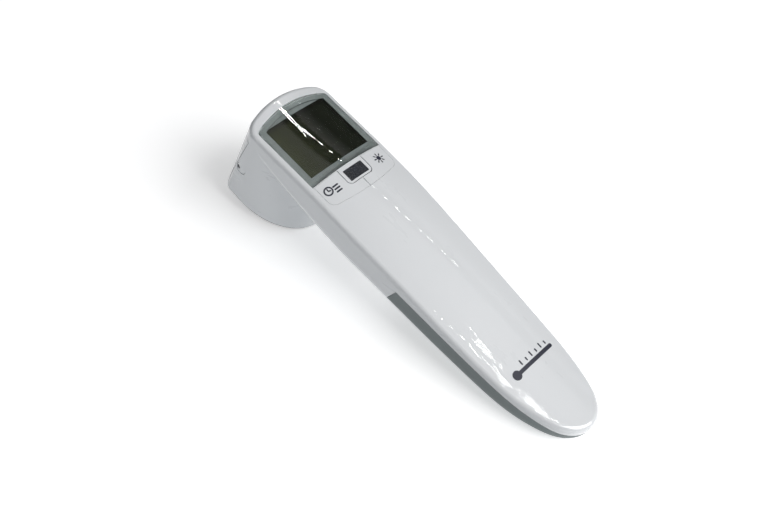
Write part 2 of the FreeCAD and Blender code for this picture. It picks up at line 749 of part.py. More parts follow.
def guide_bezels():
    """Round white inserts, each with an inner flange and an off-centre lens hole."""
    insert = guide_rod(GUIDE_INSERT_R, GUIDE_INNER_X).common(nose_column(GUIDE_INSERT_RECESS))
    flange = guide_rod(GUIDE_FLANGE_R, GUIDE_INNER_X).common(nose_column(WALL + 0.05))
    hole = guide_rod(GUIDE_LENS_R, GUIDE_INNER_X - 1.0, *guide_lens_spot())
    return both_sides(insert.fuse(flange).cut(hole).removeSplitter())


def guide_lenses():
    lens = guide_rod(GUIDE_LENS_R, GUIDE_INNER_X, *guide_lens_spot())
    return both_sides(lens.common(nose_column(GUIDE_LENS_RECESS)))


def guide_leds():
    y, z = guide_lens_spot()
    base = Vector(0.1 - GUIDE_INNER_X, y, z)
    return both_sides(Part.makeCylinder(GUIDE_LENS_R, 1.5, base, Vector(1, 0, 0)))


def hollow_shell(outer):
    """Skin of the body, one wall thick, open at the nose."""
    return outer.cut(solid_form(WALL))


def roof_bosses(outer):
    """Screw bosses that hang from the inside of the top shell."""
    spots = [(NECK_SCREW, NECK_SEAM_Z + 0.4), (TRAY_SCREW, -9.5)]
    spots += [(spot, BOARD_TOP_Z) for spot in BOARD_SCREWS]
    bosses = []
    for (x, y), end_z in spots:
        post = rod(x, y, (end_z, SKY_Z - 2), BOSS_R).common(below_crown(WALL / 2))
        bosses.append(both_sides(post.cut(rod(x, y, (DEEP_Z, PILOT_END_Z), SCREW_R))))
    return [solid for group in bosses for solid in group.Solids]


def front_housing(shell, outer):
    """Top shell with the nose tube, window recess, key opening, indicator tongue and screw bosses."""
    housing = shell.cut(cover_region(0.0)).cut(neck_region(0.0)).cut(nose_panel_region(0.0))
    surround = prism(window_outline(SURROUND_MARGIN), (LEDGE_BACK_Z, SKY_Z - 1))
    surround = surround.common(below_crown(WALL / 2)).common(outer)
    housing = housing.fuse(surround)
    recess = prism(window_outline(0.0), (WINDOW_BACK_Z - MASK_GAP - MASK_THICKNESS, SKY_Z))
    side = LCD_SIDE_OPENING
    end = LCD_HALF_HEIGHT + LCD_CLEARANCE
    opening = box((-side, side), (-end, end), (LEDGE_BACK_Z - 1, SKY_Z))
    pocket_side = BORDER_HALF_WIDTH + LCD_CLEARANCE
    pocket_y = (0.0, BORDER_FRONT_Y + LCD_CLEARANCE)
    pocket = box((-pocket_side, pocket_side), pocket_y, (LCD_TOP_Z - LCD_CLEARANCE, SKY_Z))
    key_opening = prism(key_field(0.0), (KEY_WELL_Z, SKY_Z))
    housing = housing.cut([recess, opening, pocket, key_opening])
    bridge = tongue(0.0, (LEDGE_BACK_Z, SKY_Z - 1)).common(below_crown(0.0))
    housing = housing.fuse(bridge).cut(indicator_prism(0.0, (LEDGE_BACK_Z - 1, SKY_Z)))
    housing = housing.fuse(roof_bosses(outer)).cut(both_sides(guide_rod(GUIDE_HOLE_R, GUIDE_INNER_X)))
    return housing.removeSplitter()


def rear_housing(shell):
    """Underside of the neck, with the scan button opening and two screw posts."""
    housing = shell.common(neck_region(SEAM))
    x, y = NECK_SCREW
    post = rod(x, y, (DEEP_Z, NECK_SEAM_Z + 0.3), BOSS_R + 0.3).common(above_belly(WALL / 2))
    housing = housing.fuse(both_sides(post).Solids)
    bores = rod(x, y, (DEEP_Z, 0.0), SCREW_R + 0.2)
    bores = bores.fuse(rod(x, y, (DEEP_Z, NECK_SCREW_Z[0]), SCREW_HEAD_R + 0.3))
    outlets = [rod(x, y, (DEEP_Z, 0.0), SOUND_HOLE_R) for x, y in SOUND_HOLES]
    housing = housing.cut([*both_sides(bores).Solids, prism(scan_outline(0.0), (DEEP_Z, 0.0)), *outlets])
    return housing.removeSplitter()


def grip_grooves():
    """Shallow thumb grooves across the underside of the cover."""
    x = (-GRIP_HALF_WIDTH, GRIP_HALF_WIDTH)
    starts = [GRIP_FRONT_Y - GRIP_PITCH * i for i in range(GRIP_COUNT)]
    return Part.makeCompound([box(x, (y - GRIP_WIDTH, y), (DEEP_Z, GRIP_FLOOR_Z)) for y in starts])


def battery_cover(shell):
    """Lower handle shell that slides off over the tip; a catch holds its front in the rear housing."""
    cover = shell.common(cover_region(SEAM)).cut(grip_grooves())
    x = (-CATCH_HALF_WIDTH, CATCH_HALF_WIDTH)
    catch = box(x, CATCH_Y, CATCH_Z)
    foot = box(x, CATCH_FOOT_Y, CATCH_FOOT_Z)
    return cover.fuse(catch).fuse(foot).removeSplitter()


def nose_panel(shell):
    return shell.common(nose_panel_region(NOSE_SEAM))


# ---------------------------------------------------------------- boards and what they carry


def main_board():
    x = (-BOARD_HALF_WIDTH, BOARD_HALF_WIDTH)
    board = box(x, (BOARD_REAR_Y, BOARD_FRONT_Y), (BOARD_BACK_Z, BOARD_TOP_Z))
    for x, y in BOARD_SCREWS:
        board = board.cut(both_sides(rod(x, y, (DEEP_Z, 0.0), SCREW_R + 0.2)))
    return board


def controller_chip():
    return box(CONTROLLER_X, CONTROLLER_Y, (BOARD_BACK_Z - CONTROLLER_HEIGHT, BOARD_BACK_Z))


def memory_chip():
    return box(MEMORY_X, MEMORY_Y, (BOARD_BACK_Z - MEMORY_HEIGHT, BOARD_BACK_Z))


def clock_crystal():
    start = Vector(*CRYSTAL_START, BOARD_BACK_Z - CRYSTAL_R)
    return Part.makeCylinder(CRYSTAL_R, CRYSTAL_LENGTH, start, Vector(1, 0, 0))


def buzzer():
    face_z = BOARD_BACK_Z - BUZZER_HEIGHT
    can = rod(0, BUZZER_Y, (face_z, BOARD_BACK_Z), BUZZER_R)
    return can.cut(rod(0, BUZZER_Y, (DEEP_Z, face_z + BUZZER_PORT_DEPTH), BUZZER_PORT_R))


def sensor_connector():
    x = (-CONNECTOR_HALF_WIDTH, CONNECTOR_HALF_WIDTH)
    return box(x, CONNECTOR_Y, (BOARD_BACK_Z - CONNECTOR_HEIGHT, BOARD_BACK_Z))


def sensor_ribbon():
    x = (-RIBBON_HALF_WIDTH, RIBBON_HALF_WIDTH)
    return on_sensor_axis(box(x, RIBBON_Y, (SENSOR_BOARD_END, RIBBON_END)))


# ---------------------------------------------------------------- sensor in the nose


def nose_bezel():
    """Plate that closes the nose, with a lip over the rim, the sensor collar and two screw posts."""

    def layer(low, high):
        return on_sensor_axis(box((-HALF_SPAN, HALF_SPAN), (-40.0, 40.0), (low, high)))

    inset = WALL + 0.1
    plate = nose_column(inset).common(layer(BEZEL_RECESS, BEZEL_BACK))
    skirt = nose_column(inset).common(layer(-BEZEL_LIP, BEZEL_BACK)).cut(nose_column(inset + BEZEL_SKIRT))
    lip = nose_column(BEZEL_LIP_INSET).common(layer(-BEZEL_LIP, 0.0)).cut(nose_column(inset + BEZEL_SKIRT))
    collar = on_sensor_axis(rod(0, 0, (BEZEL_RECESS, CUP_SEAT), COLLAR_R))
    post = rod(SENSOR_SCREW_X, 0, (BEZEL_RECESS, CUP_SEAT + POST_HEIGHT), BOSS_R)
    posts = on_sensor_axis(both_sides(post))
    bores = rod(0, 0, (-1.0, HOLDER_END), APERTURE_R)
    bores = bores.fuse(rod(0, 0, (WINDOW_SEAT, HOLDER_END), SENSOR_WINDOW_R + 0.05))
    pilots = both_sides(rod(SENSOR_SCREW_X, 0, (SENSOR_PILOT_START, HOLDER_END), SCREW_R))
    bezel = plate.fuse([skirt, lip, collar] + posts.Solids)
    return bezel.cut(on_sensor_axis(bores)).cut(on_sensor_axis(pilots)).removeSplitter()


def sensor_window():
    return on_sensor_axis(rod(0, 0, (WINDOW_SEAT, WINDOW_SEAT + SENSOR_WINDOW_THICKNESS), SENSOR_WINDOW_R))


def sensor_cup():
    """Polished cone that gathers the infrared light for the sensor."""
    flange_end = CUP_SEAT + CUP_FLANGE_THICKNESS
    nose = rod(0, 0, (CUP_START, CUP_SEAT), CUP_NOSE_R)
    flange = rod(0, 0, (CUP_SEAT, flange_end), CUP_FLANGE_R)
    barrel = rod(0, 0, (flange_end, SENSOR_CAN_START), CUP_BARREL_R)
    cone = Part.makeCone(CONE_WIDE_R, CONE_NARROW_R, SENSOR_CAN_START - CUP_START, Vector(0, 0, CUP_START))
    return on_sensor_axis(nose.fuse([flange, barrel]).cut(cone).removeSplitter())


def thermopile_sensor():
    can = rod(0, 0, (SENSOR_CAN_START, SENSOR_CAN_END), CAN_R)
    base = rod(0, 0, (SENSOR_CAN_END, SENSOR_CAN_END + CAN_BASE_THICKNESS), CAN_BASE_R)
    seat = rod(0, 0, (SENSOR_CAN_START, SENSOR_CAN_START + FILTER_THICKNESS), FILTER_R)
    return on_sensor_axis(can.fuse(base).cut(seat).removeSplitter())


def sensor_filter():
    return on_sensor_axis(rod(0, 0, (SENSOR_CAN_START, SENSOR_CAN_START + FILTER_THICKNESS), FILTER_R))


def pin_spots():
    return [(PIN_OFFSET * sx, PIN_OFFSET * sy) for sx in (-1, 1) for sy in (-1, 1)]


def sensor_pins():
    z = (SENSOR_CAN_END + CAN_BASE_THICKNESS, SENSOR_BOARD_END + PIN_STICK_OUT)
    pins = [rod(x, y, z, PIN_R) for x, y in pin_spots()]
    return on_sensor_axis(Part.makeCompound(pins))


def sensor_holder():
    """Sleeve round the cup and the sensor, with two screwed ears."""
    sleeve = rod(0, 0, (HOLDER_START, HOLDER_END), HOLDER_R)
    ear_x = (-EAR_HALF_WIDTH, EAR_HALF_WIDTH)
    ears = box(ear_x, (-EAR_HALF_LENGTH, EAR_HALF_LENGTH), (HOLDER_START, EAR_END))
    bores = rod(0, 0, (0.0, SENSOR_CAN_START), CUP_BARREL_R + 0.05)
    bores = bores.fuse(rod(0, 0, (0.0, SENSOR_BOARD_END), CAN_BASE_R + 0.05))
    holes = both_sides(rod(SENSOR_SCREW_X, 0, (0.0, SENSOR_BOARD_END), SCREW_R + 0.1))
    return on_sensor_axis(sleeve.fuse(ears).cut(bores).cut(holes).removeSplitter())


def sensor_board():
    side = (-SENSOR_BOARD_HALF_WIDTH, SENSOR_BOARD_HALF_WIDTH)
    board = box(side, side, (HOLDER_END, SENSOR_BOARD_END))
    for x, y in pin_spots():
        board = board.cut(rod(x, y, (HOLDER_END, SENSOR_BOARD_END), PIN_R + 0.04))
    return on_sensor_axis(board)


def amplifier_chip():
    y = (-AMPLIFIER_HALF_LENGTH, AMPLIFIER_HALF_LENGTH)
    return on_sensor_axis(box(AMPLIFIER_X, y, (SENSOR_BOARD_END, SENSOR_BOARD_END + AMPLIFIER_HEIGHT)))


# ---------------------------------------------------------------- batteries


def along_handle(shape):
    """Turns a shape built along +Z so that it points towards the handle tip."""
    turned = shape.copy()
    turned.rotate(Vector(0, 0, 0), Vector(1, 0, 0), 90)
    return turned


def cell(start_y, x, cap_first):
    """AAA cell with its raised cap at the front or the rear."""
    length = CELL_LENGTH - CELL_NUB
    body = Part.makeCylinder(CELL_R, length)
    rims = [edge for edge in body.Edges if edge.Closed and edge.BoundBox.ZLength < 0.1]
    nub = Part.makeCylinder(CELL_NUB_R, CELL_NUB + 0.2, Vector(0, 0, length - 0.2))
    battery = body.makeFillet(CELL_EDGE_R, rims).fuse(nub)
    if cap_first:
        battery.rotate(Vector(0, 0, CELL_LENGTH / 2), Vector(1, 0, 0), 180)
    battery = along_handle(battery)
    battery.translate(Vector(x, start_y, CELL_Z))
    return battery


def battery_cells():
    left = cell(BAY_FRONT_Y - CONTACT_THICKNESS - SPRING_LENGTH, -CELL_X, False)
    right = cell(BAY_FRONT_Y - 2 * CONTACT_THICKNESS, CELL_X, True)
    return Part.makeCompound([left, right])


def battery_tray():
    """Frame round the cells, with a screwed ear plate beyond its rear wall."""
    wall = TRAY_WALL
    half = TRAY_HALF_WIDTH
    z = (TRAY_BACK_Z, TRAY_TOP_Z)
    tray = box((-half, half), (BAY_REAR_Y - wall, BAY_FRONT_Y + wall), z)
    tray = tray.cut(box((-half + wall, half - wall), (BAY_REAR_Y, BAY_FRONT_Y), (DEEP_Z, 0.0)))
    x, y = TRAY_SCREW
    margin = TRAY_EAR_MARGIN
    ears = box((-x - margin, x + margin), (y - margin, BAY_REAR_Y - wall), TRAY_EAR_Z)
    holes = both_sides(rod(x, y, (DEEP_Z, 0.0), SCREW_R + 0.1))
    return tray.fuse(ears).cut(holes).removeSplitter()


def contact_bump(x, y):
    """Low round bump on a plate, facing the handle tip."""
    bump = along_handle(Part.makeCylinder(CONTACT_BUMP_R, CONTACT_THICKNESS))
    bump.translate(Vector(x, y, CELL_Z))
    return bump


def front_contacts():
    """Two separate plates; the right one carries the bump for a cell cap."""
    y = (BAY_FRONT_Y - CONTACT_THICKNESS, BAY_FRONT_Y)
    plate = box((CONTACT_INNER_X, CONTACT_OUTER_X), y, CONTACT_Z)
    return Part.makeCompound([mirrored(plate), plate.fuse(contact_bump(CELL_X, y[0])).removeSplitter()])


def rear_contact():
    """One plate that links the two cells."""
    y = (BAY_REAR_Y, BAY_REAR_Y + CONTACT_THICKNESS)
    plate = box((-CONTACT_OUTER_X, CONTACT_OUTER_X), y, CONTACT_Z)
    return plate.fuse(contact_bump(-CELL_X, y[1] + CONTACT_THICKNESS)).removeSplitter()


def contact_spring(x, start_y):
    margin = 1.1 * SPRING_WIRE_R
    coil = Part.makeHelix(SPRING_PITCH, SPRING_LENGTH - 2 * margin, SPRING_R)
    section = Part.Wire(Part.makeCircle(SPRING_WIRE_R, Vector(SPRING_R, 0, 0), Vector(0, 1, 0)))
    spring = Part.Wire(coil.Edges).makePipeShell([section], True, True)
    spring.translate(Vector(0, 0, margin))
    spring = along_handle(spring)
    spring.translate(Vector(x, start_y, CELL_Z))
    return spring


def contact_springs():
    left = contact_spring(-CELL_X, BAY_FRONT_Y - CONTACT_THICKNESS)
    right = contact_spring(CELL_X, BAY_REAR_Y + CONTACT_THICKNESS + SPRING_LENGTH)
    return Part.makeCompound([left, right])


def battery_leads():
    """Stiff wires from the front contacts to the board."""
    start = Vector(LEAD_X, BAY_FRONT_Y + TRAY_WALL + 0.05, BOARD_BACK_Z - LEAD_DROP)
    length = BOARD_REAR_Y + LEAD_OVERLAP - start.y
    return both_sides(Part.makeCylinder(LEAD_R, length, start, Vector(0, 1, 0)))


# ---------------------------------------------------------------- assembly


def display_frame_pieces():
    outer = outer_form()
    shell = hollow_shell(outer)
    return {
        "front_housing": front_housing(shell, outer),
        "rear_housing": rear_housing(shell),
        "battery_cover": battery_cover(shell),
        "nose_panel": nose_panel(shell),
        "display_window": display_window(),
        "window_mask": window_mask(),
        "lcd_border": lcd_border(),
        "lcd_panel": lcd_panel(),
        "lcd_frame": lcd_frame(),
        "backlight_panel": backlight_panel(),
        "backlight_led": backlight_led(),
        "contact_strip": contact_strip(),
        "mode_key": mode_key(),
        "light_key": mirrored(mode_key()),
        "mode_switch": key_switch(),
        "light_switch": mirrored(key_switch()),
        "mode_switch_stem": key_switch_stem(),
        "light_switch_stem": mirrored(key_switch_stem()),
        "scan_button": scan_button(),
        "scan_switch": scan_switch(),
        "scan_switch_stem": scan_switch_stem(),
        "indicator_lens": indicator_lens(),
        "indicator_light_guide": indicator_light_guide(),
        "indicator_leds": indicator_leds(),
        "guide_bezels": guide_bezels(),
        "guide_lenses": guide_lenses(),
        "guide_leds": guide_leds(),
        "main_board": main_board(),
        "controller_chip": controller_chip(),
        "memory_chip": memory_chip(),
        "clock_crystal": clock_crystal(),
        "buzzer": buzzer(),
        "sensor_connector": sensor_connector(),
        "sensor_ribbon": sensor_ribbon(),
        "nose_bezel": nose_bezel(),
        "sensor_window": sensor_window(),
        "sensor_cup": sensor_cup(),
        "sensor_holder": sensor_holder(),
        "thermopile_sensor": thermopile_sensor(),
        "sensor_filter": sensor_filter(),
        "sensor_pins": sensor_pins(),
        "sensor_board": sensor_board(),
        "amplifier_chip": amplifier_chip(),
        "battery_cells": battery_cells(),
        "battery_tray": battery_tray(),
        "front_contacts": front_contacts(),
        "rear_contact": rear_contact(),
        "contact_springs": contact_springs(),
        "battery_leads": battery_leads(),
        "neck_screws": neck_screws(),
        "board_screws": board_screws(),
        "tray_screws": tray_screws(),
        "sensor_screws": sensor_screws(),
    }


def set_down(pieces):
    """Tips the pieces on to nose and battery cover, and centres them over the origin."""
    tilt = Placement(Vector(0, 0, 0), Rotation(Vector(1, 0, 0), REST_TILT_DEG))
    for shape in pieces.values():
        shape.Placement = tilt.multiply(shape.Placement)
    outside = ("front_housing", "rear_housing", "battery_cover", "nose_panel", "nose_bezel")
    shells = [pieces[name] for name in outside]
    extent = Part.makeCompound(shells).optimalBoundingBox(False, False)
    shift = Vector(-extent.Center.x, -extent.Center.y, -extent.ZMin)
    for shape in pieces.values():
        shape.translate(shift)


def main():
    os.makedirs("parts", exist_ok=True)
    pieces = display_frame_pieces()
    set_down(pieces)
    for name, shape in pieces.items():
        shape.exportStep("parts/" + name + ".step")


main()
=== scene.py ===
import json
import math

import bmesh
import bpy
from mathutils import Matrix, Vector
from mathutils.bvhtree import BVHTree


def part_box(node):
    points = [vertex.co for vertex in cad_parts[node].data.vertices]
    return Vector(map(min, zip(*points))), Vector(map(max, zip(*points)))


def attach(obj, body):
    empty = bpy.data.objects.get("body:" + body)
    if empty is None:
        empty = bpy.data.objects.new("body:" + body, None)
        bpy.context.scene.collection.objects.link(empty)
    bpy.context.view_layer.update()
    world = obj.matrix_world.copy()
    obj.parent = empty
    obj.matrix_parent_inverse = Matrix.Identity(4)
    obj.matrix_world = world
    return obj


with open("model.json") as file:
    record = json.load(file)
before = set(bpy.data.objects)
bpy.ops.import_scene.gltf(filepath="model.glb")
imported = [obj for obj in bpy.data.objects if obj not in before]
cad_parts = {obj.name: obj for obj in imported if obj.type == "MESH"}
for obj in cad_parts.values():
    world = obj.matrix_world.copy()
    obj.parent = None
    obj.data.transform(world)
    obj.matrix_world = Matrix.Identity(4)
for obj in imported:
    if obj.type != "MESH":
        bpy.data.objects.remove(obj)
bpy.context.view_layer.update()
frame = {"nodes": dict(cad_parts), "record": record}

# The display frame: origin in the middle of the display on the top surface, +X to the user's right, +Y to
# the head and +Z out of the display. The CAD was tipped by TILT about X; the display glass says where the
# origin went.
MM = 0.001
TILT = math.radians(12.0)
GLASS_CENTRE = Vector((0.0, 0.0, -4.175)) * MM
TIP_OVER = Matrix.Rotation(TILT, 4, "X")
glass_low, glass_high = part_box("lcd_panel")
ORIGIN = (Vector(glass_low) + Vector(glass_high)) / 2 - TIP_OVER @ GLASS_CENTRE
DISPLAY = Matrix.Translation(ORIGIN) @ TIP_OVER


# ---------------------------------------------------------------- shader helpers


class Look:
    """One material: a Principled shader with textures in object space, in metres in the row's frame."""

    def __init__(self, name, **sockets):
        self.mat = bpy.data.materials.new(name)
        self.mat.use_nodes = True
        self.nodes = self.mat.node_tree.nodes
        self.links = self.mat.node_tree.links
        self.shader = self.nodes["Principled BSDF"]
        self.output = self.nodes["Material Output"]
        self.place = self.nodes.new("ShaderNodeTexCoord").outputs["Object"]
        for socket, value in sockets.items():
            self.shader.inputs[socket.replace("_", " ")].default_value = value

    def add(self, kind, **values):
        node = self.nodes.new("ShaderNode" + kind)
        for key, value in values.items():
            if hasattr(value, "node") and hasattr(value, "is_output"):
                self.links.new(value, node.inputs[key])
            elif key in node.inputs:
                node.inputs[key].default_value = value
            else:
                setattr(node, key, value)
        return node

    def display_axes(self):
        """Metres right of, in front of and above the middle of the display, as three outputs."""
        shift = DISPLAY.inverted().translation
        to_display = self.add("Mapping", Vector=self.place, Rotation=(-TILT, 0, 0), Location=shift)
        return self.add("SeparateXYZ", Vector=to_display.outputs["Vector"]).outputs

    def scale_colour(self, colour, factor):
        mix = self.add("VectorMath", operation="SCALE", Scale=factor)
        self.links.new(colour, mix.inputs[0])
        return mix.outputs["Vector"]

    def facing_up(self):
        """1 where the surface faces out of the display, 0 on its edges."""
        normal = self.add("NewGeometry").outputs["True Normal"]
        dot = self.add("VectorMath", operation="DOT_PRODUCT")
        self.links.new(normal, dot.inputs[0])
        dot.inputs[1].default_value = DISPLAY.to_3x3() @ Vector((0, 0, 1))
        return self.span(dot.outputs["Value"], 0.0, 1.0, 0.4, 0.6)

    def noise(self, scale, detail=2.0, stretch=(1, 1, 1)):
        place = self.add("Mapping", Vector=self.place, Scale=stretch).outputs["Vector"]
        return self.add("TexNoise", Vector=place, Scale=scale, Detail=detail).outputs["Fac"]

    def blend(self, factor, low, high, at=(0.35, 0.65)):
        ramp = self.add("ValToRGB", Fac=factor)
        for stop, place, colour in zip(ramp.color_ramp.elements, at, (low, high)):
            stop.position = place
            stop.color = (*colour, 1.0)
        return ramp.outputs["Color"]

    def span(self, factor, low, high, start=0.3, end=0.7):
        node = self.add("MapRange", Value=factor)
        for key, value in (("From Min", start), ("From Max", end), ("To Min", low), ("To Max", high)):
            node.inputs[key].default_value = value
        return node.outputs["Result"]

    def colour(self, output):
        self.links.new(output, self.shader.inputs["Base Color"])

    def rough(self, output):
        self.links.new(output, self.shader.inputs["Roughness"])

    def bumps(self, *layers):
        """Stacks bump maps, each a height, a strength and a depth in metres."""
        previous = None
        for height, strength, depth in layers:
            node = self.add("Bump", Height=height, Strength=strength, Distance=depth)
            if previous:
                self.links.new(previous, node.inputs["Normal"])
            previous = node.outputs["Normal"]
        self.links.new(previous, self.shader.inputs["Normal"])


# How far a moulded plastic's shade strays, as a share.
MOTTLE = 0.06


def scaled(colour, share):
    return tuple(channel * share for channel in colour)


def gloss_white(name, tint):
    """Polished ABS: faint moulding waviness and hairline scuffs under a clear, sharp gloss."""
    look = Look(name, Coat_Weight=1.0, Coat_Roughness=0.02, Coat_IOR=1.5, IOR=1.5)
    look.colour(look.blend(look.noise(35.0), scaled(tint, 0.985), tint))
    scuffs = look.noise(260.0, 3.0, stretch=(1.0, 0.12, 1.0))
    look.rough(look.span(scuffs, 0.27, 0.31))
    look.bumps((look.noise(95.0, 1.0), 0.004, 0.0004), (look.noise(2600.0, 1.0), 0.01, 0.00002))
    return look.mat


def moulded(name, tint, rough, grain_size=0.00035, depth=0.35):
    """Spark-eroded plastic: fine grain, slight shade change and rubbed patches."""
    look = Look(name, IOR=1.47)
    patches = look.noise(60.0, 3.0)
    look.colour(look.blend(patches, scaled(tint, 1.0 - MOTTLE), scaled(tint, 1.0 + MOTTLE)))
    look.rough(look.span(patches, rough - 0.05, rough + 0.05))
    grain = look.noise(1.0 / grain_size, 2.0)
    look.bumps((grain, depth, grain_size * 0.12))
    return look.mat


def metal(name, tint, rough, stretch=(1, 1, 1)):
    """Plated metal with fine drawing marks."""
    look = Look(name, Metallic=1.0)
    marks = look.noise(1500.0, 2.0, stretch)
    look.colour(look.blend(marks, scaled(tint, 0.86), tint))
    look.rough(look.span(marks, rough - 0.06, rough + 0.08))
    look.bumps((marks, 0.12, 0.00002))
    return look.mat


# Height of the window's inner face, between its two values, in the display frame.
INNER_FACE = (-0.0026, -0.0024)


def window_clear(name):
    """Clear acrylic; lamps shine straight through it on to the display."""
    look = Look(name, Transmission_Weight=1.0, IOR=1.49, Coat_Weight=0.0, Base_Color=(0.93, 0.95, 0.94, 1.0))
    look.rough(look.span(look.noise(220.0, 3.0, stretch=(1.0, 0.2, 1.0)), 0.01, 0.03))
    look.bumps((look.noise(70.0, 1.0), 0.001, 0.0004))
    # Only the polished outer face mirrors; the printed inner face lies on the film and does not.
    height = look.display_axes()["Z"]
    outer_face = look.span(height, 0.0, 1.0, *INNER_FACE)
    look.links.new(outer_face, look.shader.inputs["Specular Tint"])
    clear = look.add("BsdfTransparent", Color=(0.9, 0.92, 0.91, 1.0))
    shadow = look.add("LightPath").outputs["Is Shadow Ray"]
    mix = look.add("MixShader", Fac=shadow)
    look.links.new(look.shader.outputs["BSDF"], mix.inputs[1])
    look.links.new(clear.outputs["BSDF"], mix.inputs[2])
    look.links.new(mix.outputs["Shader"], look.output.inputs["Surface"])
    return look.mat


# Places on the display, in metres from its middle: painted light makes the olive lighter on the left and
# fades it darker to the right, and painted shade darkens the front and right edges down to BORDER_SHADE.
PAINTED_LIGHT_FADE = (-0.014, 0.003)
FRONT_SHADE = (0.0100, 0.0112)
RIGHT_SHADE = (0.0118, 0.0128)
BORDER_SHADE = 0.35


def display_glass(name):
    """Dark olive display, off, with faint polariser cloudiness, painted light that is lighter on the left
    and darker to the right, and painted shade on the front and right edges.
    """
    look = Look(name, IOR=1.5, Specular_IOR_Level=0.08)
    right, front, _ = look.display_axes()
    # Painted light: the olive is lighter on the left and fades darker to the right.
    across = look.span(right, 0.0, 1.0, *PAINTED_LIGHT_FADE)
    olive_and_painted_light = look.blend(across, (0.019, 0.021, 0.007), (0.005, 0.006, 0.003), (0.0, 1.0))
    cloudy_and_painted_light = look.scale_colour(olive_and_painted_light, look.span(look.noise(30.0, 2.0), 0.92, 1.08))
    # Painted shade: the front and right edges are darkened down to BORDER_SHADE.
    shade = look.add("Math", operation="MINIMUM")
    look.links.new(look.span(front, 1.0, BORDER_SHADE, *FRONT_SHADE), shade.inputs[0])
    look.links.new(look.span(right, 1.0, BORDER_SHADE, *RIGHT_SHADE), shade.inputs[1])
    look.colour(look.scale_colour(cloudy_and_painted_light, shade.outputs["Value"]))
    look.rough(look.span(look.noise(400.0, 2.0), 0.30, 0.38))
    look.bumps((look.noise(3200.0, 1.0), 0.01, 0.00002))
    return look.mat


def printed(name, tint, rough=0.45, painted_edge_shade=1.0):
    """Screen-printed ink, slightly mottled, with the mesh's fine texture and painted shade on its cut edges.
    """
    look = Look(name, IOR=1.45)
    ink = look.blend(look.noise(900.0, 3.0), scaled(tint, 0.92), tint)
    # Painted shade: the cut edges, which do not face out of the display, are darkened to the given share of
    # the ink's colour.
    look.colour(look.scale_colour(ink, look.span(look.facing_up(), painted_edge_shade, 1.0, 0.0, 1.0)))
    look.rough(look.span(look.noise(1400.0), rough - 0.06, rough + 0.08))
    look.bumps((look.noise(5200.0, 1.0), 0.12, 0.00001))
    return look.mat


def smoked_lens(name, tint):
    """Dark lens under a light clear coat, with finely varied roughness."""
    look = Look(name, IOR=1.5, Coat_Weight=0.5, Coat_Roughness=0.05)
    look.colour(look.blend(look.noise(500.0, 3.0), scaled(tint, 0.75), scaled(tint, 1.2)))
    look.rough(look.span(look.noise(1800.0), 0.18, 0.32))
    look.bumps((look.noise(2400.0, 1.0), 0.02, 0.00002))
    return look.mat


def board(name):
    """Green solder resist over a faint pattern of tracks."""
    look = Look(name, IOR=1.5, Coat_Weight=0.3, Coat_Roughness=0.2)
    tracks = look.add("TexBrick", Vector=look.place, Scale=420.0)
    for key, value in (("Mortar Size", 0.08), ("Color1", (0.012, 0.10, 0.035, 1)),
                       ("Color2", (0.018, 0.13, 0.05, 1)), ("Mortar", (0.03, 0.20, 0.08, 1))):
        tracks.inputs[key].default_value = value
    look.colour(tracks.outputs["Color"])
    look.rough(look.span(look.noise(700.0), 0.32, 0.45))
    look.bumps((tracks.outputs["Fac"], 0.25, 0.00004))
    return look.mat


FOIL_END = (0.55, 0.55, 0.55)
FOIL_DARK = (0.03, 0.05, 0.10)
FOIL_BAND = (0.46, 0.33, 0.16)
# Where each colour of the jacket starts, as a share of the cell's length.
FOIL_COLOURS = (
    (0.0, FOIL_END), (0.045, FOIL_DARK), (0.2, FOIL_BAND), (0.24, FOIL_DARK),
    (0.76, FOIL_BAND), (0.8, FOIL_DARK), (0.955, FOIL_END),
)


def cell_jacket(name):
    """Battery jacket: dark printed foil with lighter bands near its ends, worn along its length."""
    look = Look(name, Metallic=0.55, IOR=1.5, Coat_Weight=0.4, Coat_Roughness=0.12)
    low, high = (Vector(corner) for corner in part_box("battery_cells"))
    along = look.add("SeparateXYZ", Vector=look.place).outputs["Y"]
    share = look.span(along, 0.0, 1.0, low.y, high.y)
    ramp = look.add("ValToRGB", Fac=share).color_ramp
    ramp.interpolation = "CONSTANT"
    while len(ramp.elements) < len(FOIL_COLOURS):
        ramp.elements.new(1.0)
    for stop, (place, colour) in zip(ramp.elements, FOIL_COLOURS):
        stop.position = place
        stop.color = (*colour, 1.0)
    look.colour(look.nodes["Color Ramp"].outputs["Color"])
    look.rough(look.span(look.noise(900.0, 3.0, stretch=(1.0, 0.15, 1.0)), 0.22, 0.4))
    look.bumps((look.noise(300.0), 0.05, 0.0001))
    return look.mat


def floor_look(name):
    look = Look(name, Roughness=0.6, Emission_Strength=FLOOR_GLOW, Emission_Color=(1, 1, 1, 1))
    look.colour(look.blend(look.noise(3.0), (0.93, 0.93, 0.93), (0.95, 0.95, 0.95)))
    return look.mat


